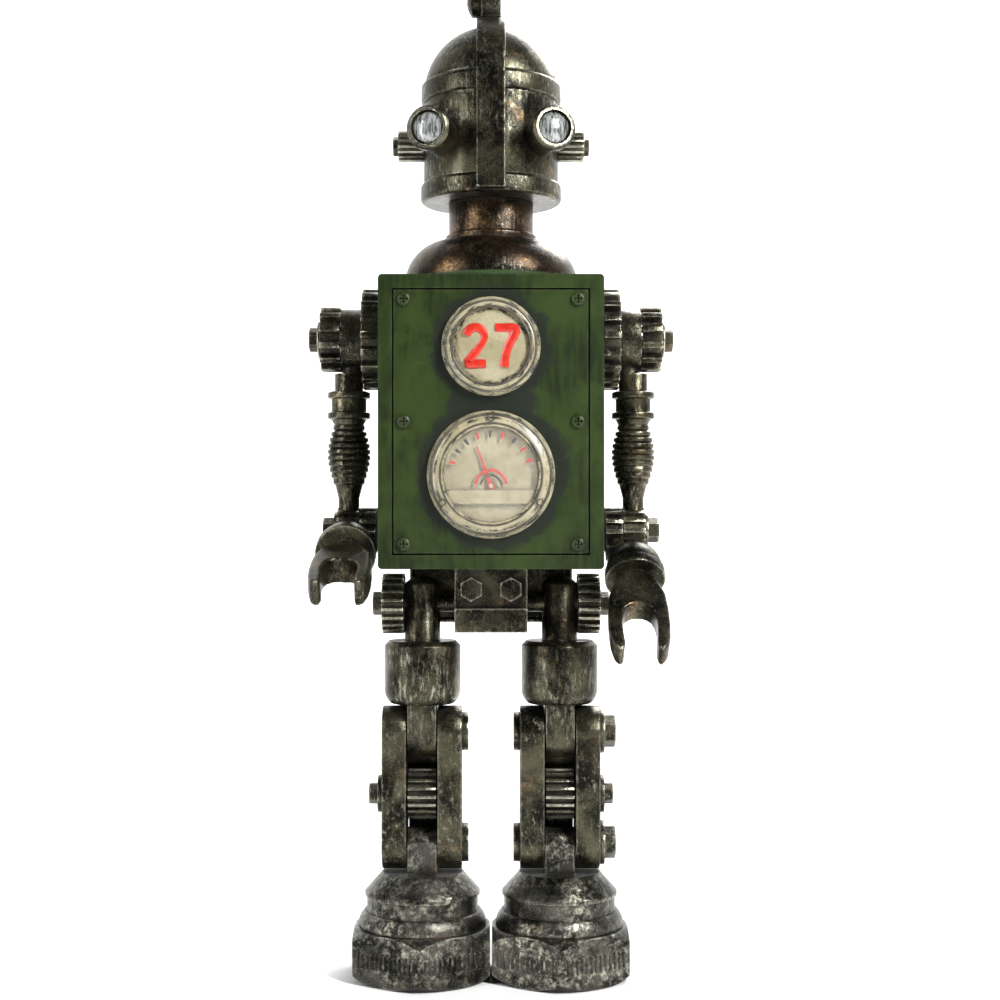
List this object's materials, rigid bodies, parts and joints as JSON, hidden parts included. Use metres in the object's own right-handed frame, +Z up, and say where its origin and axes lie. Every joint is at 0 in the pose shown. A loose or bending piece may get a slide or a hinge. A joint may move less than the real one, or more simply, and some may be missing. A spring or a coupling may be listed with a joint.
{
  "type": "wind-up robot",
  "caption": "Standing clockwork toy robot: boxy painted torso with round dials, crested round head, geared arms with wrench claws, jointed legs on hexagon-nut feet, winding key at the back.",
  "frame": {"origin": "centre of the two soles, on the ground plane", "axes": "+Z up, the robot faces -Y, its own left is +X"},
  "size_m": [0.1088, 0.0984, 0.3],
  "materials": {
    "green_paint": "weathered olive-green paint, darkened round the dials",
    "cream_enamel": "aged cream enamel scratched through to black",
    "red_enamel": "red enamel",
    "dial_glass": "clear domed dial glass",
    "eye_glass": "frosted silver-white lens",
    "key_steel": "darkened steel",
    "spring_steel": "blued spring steel",
    "clock_brass": "plain clock brass",
    "arbor_steel": "turned steel",
    "foot_metal": "silver-grey dry-brushed cast metal",
    "screw_metal": "screws painted over in green",
    "gunmetal": "antique gunmetal with silver and copper rub-through"
  },
  "bodies": {
    "torso": {"torso_case": "green_paint", "front_cover": "green_paint", "back_cover": "green_paint", "cover_screws": "screw_metal", "badge_bezel": "cream_enamel", "badge_face": "cream_enamel", "gauge_bezel": "cream_enamel", "gauge_dial": "cream_enamel", "gauge_glass": "dial_glass", "gauge_screws": "screw_metal", "shoulder_dome": "gunmetal", "neck_post": "gunmetal", "pelvis_block": "gunmetal", "pelvis_bolts": "gunmetal", "hip_axle": "gunmetal", "shoulder_axle": "gunmetal", "motor_plates": "clock_brass", "motor_pillars": "arbor_steel", "mainspring": "spring_steel"},
    "head": {"head_base": "gunmetal", "head_drum": "gunmetal", "head_band": "gunmetal", "head_dome": "gunmetal", "head_crest": "gunmetal", "crest_rivet": "gunmetal", "eye_tubes": "gunmetal", "eye_lenses": "eye_glass", "ear_knobs": "gunmetal"},
    "gauge_needle": {"gauge_needle": "red_enamel"},
    "winding_train": {"winding_arbor": "arbor_steel", "great_wheel": "clock_brass", "winding_key": "key_steel"},
    "centre_train": {"centre_arbor": "arbor_steel", "second_wheel": "clock_brass", "crank_disc": "clock_brass"},
    "governor": {"governor_fly": "arbor_steel"},
    "left_arm": {"left_shoulder_gears": "gunmetal", "left_upper_arm": "gunmetal", "left_elbow_bolt": "gunmetal"},
    "left_forearm": {"left_forearm": "gunmetal"},
    "left_claw": {"left_claw": "gunmetal"},
    "left_thigh": {"left_thigh": "gunmetal", "left_hip_gear": "gunmetal"},
    "left_shin": {"left_shin_plates": "gunmetal", "left_shin_bolts": "gunmetal"},
    "left_shin_gear": {"left_shin_gear": "gunmetal"},
    "left_foot": {"left_foot": "foot_metal", "left_instep": "foot_metal"},
    "right_arm": {"right_shoulder_gears": "gunmetal", "right_upper_arm": "gunmetal", "right_elbow_bolt": "gunmetal"},
    "right_forearm": {"right_forearm": "gunmetal"},
    "right_claw": {"right_claw": "gunmetal"},
    "right_thigh": {"right_thigh": "gunmetal", "right_hip_gear": "gunmetal"},
    "right_shin": {"right_shin_plates": "gunmetal", "right_shin_bolts": "gunmetal"},
    "right_shin_gear": {"right_shin_gear": "gunmetal"},
    "right_foot": {"right_foot": "foot_metal", "right_instep": "foot_metal"}
  },
  "joints": [
    {"name": "head_turn", "type": "hinge", "parent": "torso", "child": "head", "pos_m": [0, 0, 0.2307], "axis": [0, 0, 1], "range_deg": [-80, 80]},
    {"name": "needle_swing", "type": "hinge", "parent": "torso", "child": "gauge_needle", "pos_m": [0, -0.028, 0.1457], "axis": [0, 1, 0], "range_deg": [-35, 75]},
    {"name": "winding_turn", "type": "hinge", "parent": "torso", "child": "winding_train", "pos_m": [0, 0.026, 0.164], "axis": [0, 1, 0], "continuous": true},
    {"name": "centre_turn", "type": "hinge", "parent": "torso", "child": "centre_train", "pos_m": [0, 0.015, 0.144], "axis": [0, 1, 0], "continuous": true},
    {"name": "governor_turn", "type": "hinge", "parent": "torso", "child": "governor", "pos_m": [0.016, 0.015, 0.144], "axis": [0, 1, 0], "continuous": true},
    {"name": "left_shoulder", "type": "hinge", "parent": "torso", "child": "left_arm", "pos_m": [0.0414, 0, 0.19], "axis": [-1, 0, 0], "range_deg": [-5, 150]},
    {"name": "left_elbow", "type": "hinge", "parent": "left_arm", "child": "left_forearm", "pos_m": [0.0426, 0, 0.133], "axis": [-1, 0, 0], "range_deg": [0, 80]},
    {"name": "left_wrist", "type": "hinge", "parent": "left_forearm", "child": "left_claw", "pos_m": [0.042, -0.0145, 0.1185], "axis": [0, -0.7071, -0.7071], "range_deg": [-90, 90]},
    {"name": "left_hip", "type": "hinge", "parent": "torso", "child": "left_thigh", "pos_m": [0.0205, 0, 0.111], "axis": [-1, 0, 0], "range_deg": [-15, 15]},
    {"name": "left_knee", "type": "hinge", "parent": "left_thigh", "child": "left_shin", "pos_m": [0.0205, 0, 0.0727], "axis": [1, 0, 0], "range_deg": [0, 50]},
    {"name": "left_shin_gear_turn", "type": "hinge", "parent": "left_shin", "child": "left_shin_gear", "pos_m": [0.0205, 0, 0.054], "axis": [1, 0, 0], "continuous": true},
    {"name": "left_ankle", "type": "hinge", "parent": "left_shin", "child": "left_foot", "pos_m": [0.0205, 0, 0.0394], "axis": [1, 0, 0], "range_deg": [-20, 20]},
    {"name": "right_shoulder", "type": "hinge", "parent": "torso", "child": "right_arm", "pos_m": [-0.0414, 0, 0.19], "axis": [-1, 0, 0], "range_deg": [-15, 150]},
    {"name": "right_elbow", "type": "hinge", "parent": "right_arm", "child": "right_forearm", "pos_m": [-0.0426, 0, 0.133], "axis": [-1, 0, 0], "range_deg": [-30, 55]},
    {"name": "right_wrist", "type": "hinge", "parent": "right_forearm", "child": "right_claw", "pos_m": [-0.042, -0.01926, 0.12599], "axis": [0, -0.9397, -0.342], "range_deg": [-90, 90]},
    {"name": "right_hip", "type": "hinge", "parent": "torso", "child": "right_thigh", "pos_m": [-0.0205, 0, 0.111], "axis": [-1, 0, 0], "range_deg": [-15, 15]},
    {"name": "right_knee", "type": "hinge", "parent": "right_thigh", "child": "right_shin", "pos_m": [-0.0205, 0, 0.0727], "axis": [1, 0, 0], "range_deg": [0, 50]},
    {"name": "right_shin_gear_turn", "type": "hinge", "parent": "right_shin", "child": "right_shin_gear", "pos_m": [-0.0205, 0, 0.054], "axis": [1, 0, 0], "continuous": true},
    {"name": "right_ankle", "type": "hinge", "parent": "right_shin", "child": "right_foot", "pos_m": [-0.0205, 0, 0.0394], "axis": [1, 0, 0], "range_deg": [-20, 20]}
  ],
  "couplings": [
    {"joint": "centre_turn", "follows": "winding_turn", "ratio": -4},
    {"joint": "governor_turn", "follows": "winding_turn", "ratio": 16},
    {"joint": "left_hip", "follows": "right_hip", "ratio": -1}
  ]
}
